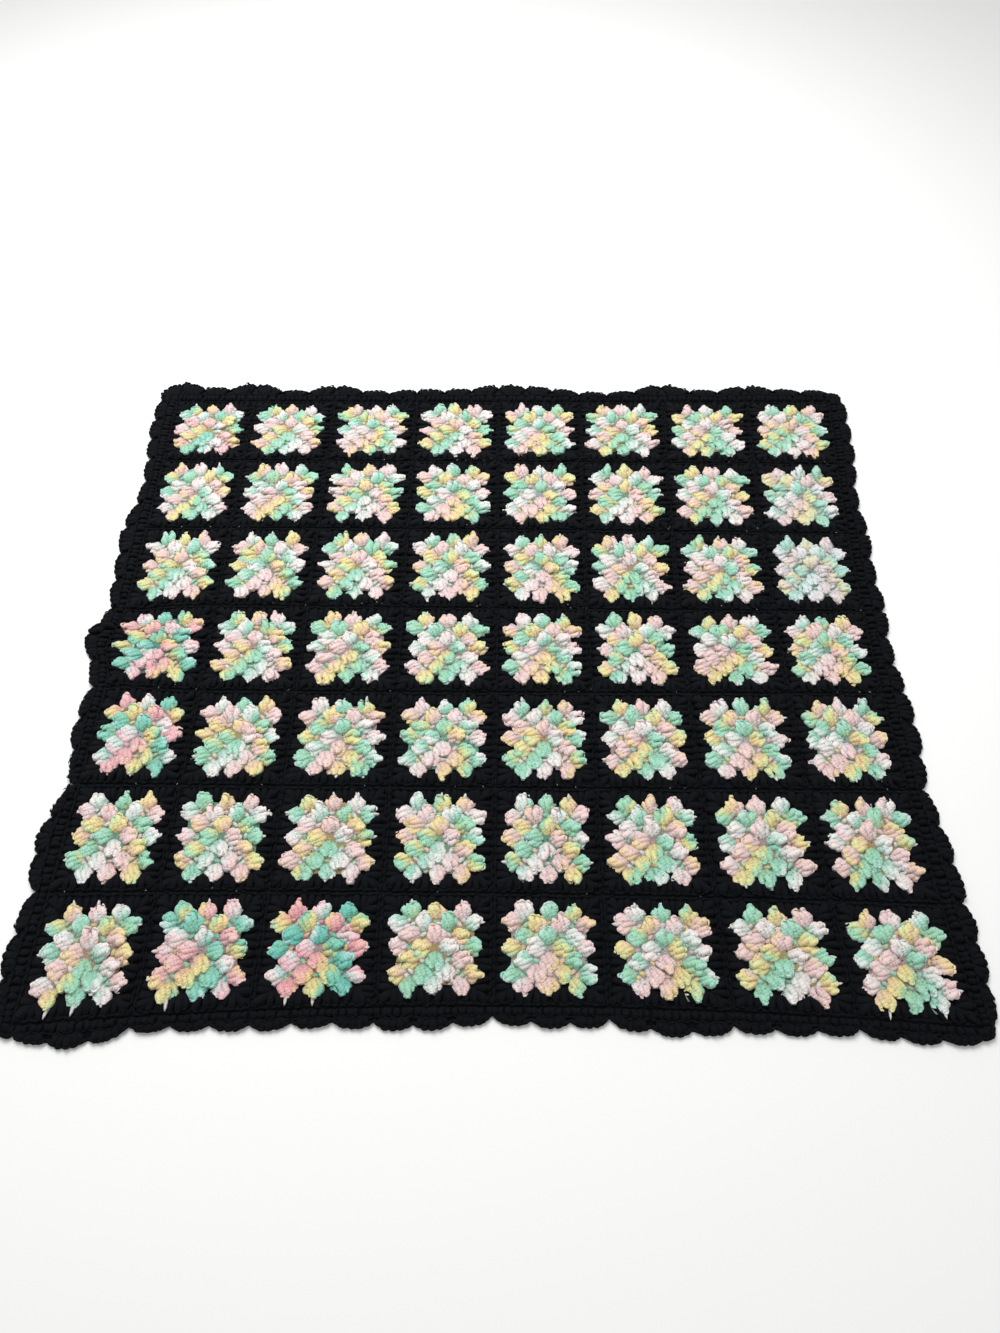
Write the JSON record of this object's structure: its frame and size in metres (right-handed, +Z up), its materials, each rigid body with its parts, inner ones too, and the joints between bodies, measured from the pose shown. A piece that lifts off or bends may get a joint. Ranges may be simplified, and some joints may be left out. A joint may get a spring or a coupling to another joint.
{
  "type": "granny square blanket",
  "caption": "Lap-size crocheted blanket of pastel granny squares with black borders, joined edge to edge, with a black scalloped edging; it lies flat.",
  "frame": {"origin": "middle of the blanket's outline, on the surface it lies on", "axes": "+X to the right along the rows of eight squares, +Y away from the viewer along the columns of seven squares, +Z up from the surface"},
  "size_m": [1.0796, 0.9814, 0.0098],
  "materials": {
    "pastel_yarn": "matte, slightly fuzzy variegated yarn in white, pink, mint, green, yellow and peach",
    "black_yarn": "matte, slightly fuzzy black yarn"
  },
  "bodies": {
    "root": {"square_r1c1": "pastel_yarn", "square_r1c2": "pastel_yarn", "square_r1c3": "pastel_yarn", "square_r1c4": "pastel_yarn", "square_r1c5": "pastel_yarn", "square_r1c6": "pastel_yarn", "square_r1c7": "pastel_yarn", "square_r1c8": "pastel_yarn", "square_r2c1": "pastel_yarn", "square_r2c2": "pastel_yarn", "square_r2c3": "pastel_yarn", "square_r2c4": "pastel_yarn", "square_r2c5": "pastel_yarn", "square_r2c6": "pastel_yarn", "square_r2c7": "pastel_yarn", "square_r2c8": "pastel_yarn", "square_r3c1": "pastel_yarn", "square_r3c2": "pastel_yarn", "square_r3c3": "pastel_yarn", "square_r3c4": "pastel_yarn", "square_r3c5": "pastel_yarn", "square_r3c6": "pastel_yarn", "square_r3c7": "pastel_yarn", "square_r3c8": "pastel_yarn", "square_r4c1": "pastel_yarn", "square_r4c2": "pastel_yarn", "square_r4c3": "pastel_yarn", "square_r4c4": "pastel_yarn", "square_r4c5": "pastel_yarn", "square_r4c6": "pastel_yarn", "square_r4c7": "pastel_yarn", "square_r4c8": "pastel_yarn", "square_r5c1": "pastel_yarn", "square_r5c2": "pastel_yarn", "square_r5c3": "pastel_yarn", "square_r5c4": "pastel_yarn", "square_r5c5": "pastel_yarn", "square_r5c6": "pastel_yarn", "square_r5c7": "pastel_yarn", "square_r5c8": "pastel_yarn", "square_r6c1": "pastel_yarn", "square_r6c2": "pastel_yarn", "square_r6c3": "pastel_yarn", "square_r6c4": "pastel_yarn", "square_r6c5": "pastel_yarn", "square_r6c6": "pastel_yarn", "square_r6c7": "pastel_yarn", "square_r6c8": "pastel_yarn", "square_r7c1": "pastel_yarn", "square_r7c2": "pastel_yarn", "square_r7c3": "pastel_yarn", "square_r7c4": "pastel_yarn", "square_r7c5": "pastel_yarn", "square_r7c6": "pastel_yarn", "square_r7c7": "pastel_yarn", "square_r7c8": "pastel_yarn", "edging": "black_yarn"}
  },
  "joints": []
}
